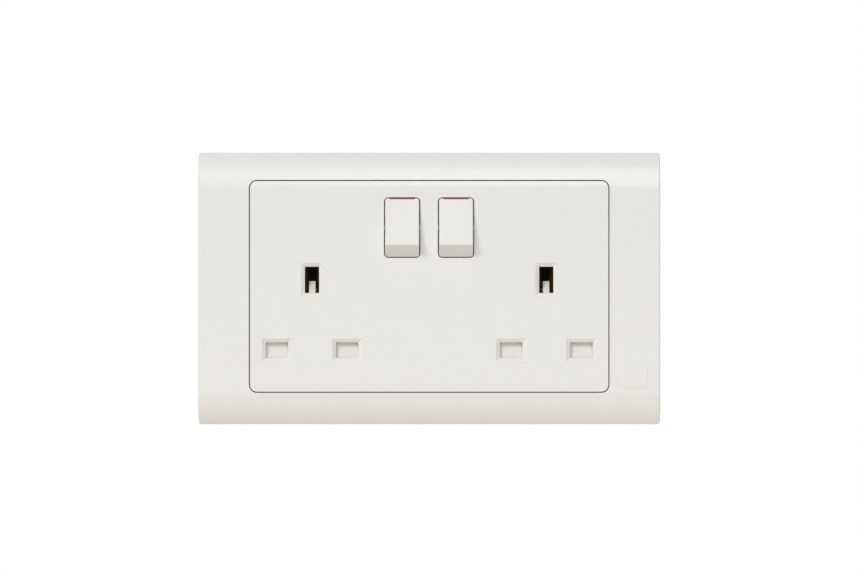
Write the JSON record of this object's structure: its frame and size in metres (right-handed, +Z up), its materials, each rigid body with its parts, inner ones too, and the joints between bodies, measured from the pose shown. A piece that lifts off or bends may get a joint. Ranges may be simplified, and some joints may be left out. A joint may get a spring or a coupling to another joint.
{
  "type": "twin switched wall socket",
  "caption": "Two-gang switched mains socket outlet with a crowned clip-on frame, rocker switches, safety shutters and rear wiring terminals.",
  "frame": {"origin": "middle of the two box fixings, in the wall plane at the back of the plate", "axes": "+X to the right seen from the front, +Z up, +Y into the wall, so the front faces -Y"},
  "size_m": [0.146, 0.0324, 0.086],
  "materials": {
    "frame_moulding": "white urea moulding, satin",
    "plate_moulding": "white urea moulding, satin",
    "rocker_moulding": "white urea moulding, satin, red mark on the top edge",
    "shutter_moulding": "white acetal, smooth",
    "cover_moulding": "natural nylon, smooth",
    "body_moulding": "black heat-resistant moulding, matt",
    "spring_wire": "drawn spring steel",
    "contact_brass": "rolled brass strip",
    "terminal_brass": "sawn and drilled brass bar",
    "contact_silver": "silver alloy contact",
    "plated_steel": "bright zinc plate"
  },
  "bodies": {
    "housing": {"outer_frame": "frame_moulding", "front_plate": "plate_moulding", "rear_body": "body_moulding", "shutter_cover_left": "cover_moulding", "shutter_cover_right": "cover_moulding", "shutter_spring_left": "spring_wire", "shutter_spring_right": "spring_wire", "line_contact_left": "contact_brass", "line_contact_right": "contact_brass", "line_feed_bar": "contact_brass", "neutral_strip": "contact_brass", "earth_strip": "contact_brass", "fixed_contact_tip_left": "contact_silver", "fixed_contact_tip_right": "contact_silver", "line_terminal": "terminal_brass", "neutral_terminal": "terminal_brass", "earth_terminal": "terminal_brass", "terminal_screws": "plated_steel", "assembly_screws": "plated_steel"},
    "left_rocker": {"rocker_left": "rocker_moulding", "plunger_spring_left": "spring_wire"},
    "right_rocker": {"rocker_right": "rocker_moulding", "plunger_spring_right": "spring_wire"},
    "left_plunger": {"plunger_left": "cover_moulding"},
    "right_plunger": {"plunger_right": "cover_moulding"},
    "left_contact": {"moving_contact_left": "contact_brass", "moving_contact_tip_left": "contact_silver"},
    "right_contact": {"moving_contact_right": "contact_brass", "moving_contact_tip_right": "contact_silver"},
    "left_shutter": {"shutter_left": "shutter_moulding"},
    "right_shutter": {"shutter_right": "shutter_moulding"}
  },
  "joints": [
    {"name": "left_rocker_tilt", "type": "hinge", "parent": "housing", "child": "left_rocker", "pos_m": [-0.0085, -0.0074, 0.0192], "axis": [1, 0, 0], "range_deg": [0, 14]},
    {"name": "right_rocker_tilt", "type": "hinge", "parent": "housing", "child": "right_rocker", "pos_m": [0.0085, -0.0074, 0.0192], "axis": [1, 0, 0], "range_deg": [0, 14]},
    {"name": "left_plunger_slide", "type": "slide", "parent": "left_rocker", "child": "left_plunger", "axis": [0, -0.9925, 0.1219], "range_m": [0, 0.0005], "stiffness_N_per_m": 1500, "springref_m": -0.001},
    {"name": "right_plunger_slide", "type": "slide", "parent": "right_rocker", "child": "right_plunger", "axis": [0, -0.9925, 0.1219], "range_m": [0, 0.0005], "stiffness_N_per_m": 1500, "springref_m": -0.001},
    {"name": "left_contact_rock", "type": "hinge", "parent": "housing", "child": "left_contact", "pos_m": [-0.0085, 0.00557, 0.0192], "axis": [1, 0, 0], "range_deg": [-22, 0]},
    {"name": "right_contact_rock", "type": "hinge", "parent": "housing", "child": "right_contact", "pos_m": [0.0085, 0.00557, 0.0192], "axis": [1, 0, 0], "range_deg": [-22, 0]},
    {"name": "left_shutter_slide", "type": "slide", "parent": "housing", "child": "left_shutter", "axis": [0, 0, -1], "range_m": [0, 0.0049], "stiffness_N_per_m": 200, "springref_m": -0.006, "deforming": ["shutter_spring_left"]},
    {"name": "right_shutter_slide", "type": "slide", "parent": "housing", "child": "right_shutter", "axis": [0, 0, -1], "range_m": [0, 0.0049], "stiffness_N_per_m": 200, "springref_m": -0.006, "deforming": ["shutter_spring_right"]}
  ],
  "couplings": [
    {"joint": "left_contact_rock", "follows": "left_rocker_tilt", "ratio": -1.5714},
    {"joint": "right_contact_rock", "follows": "right_rocker_tilt", "ratio": -1.5714}
  ]
}
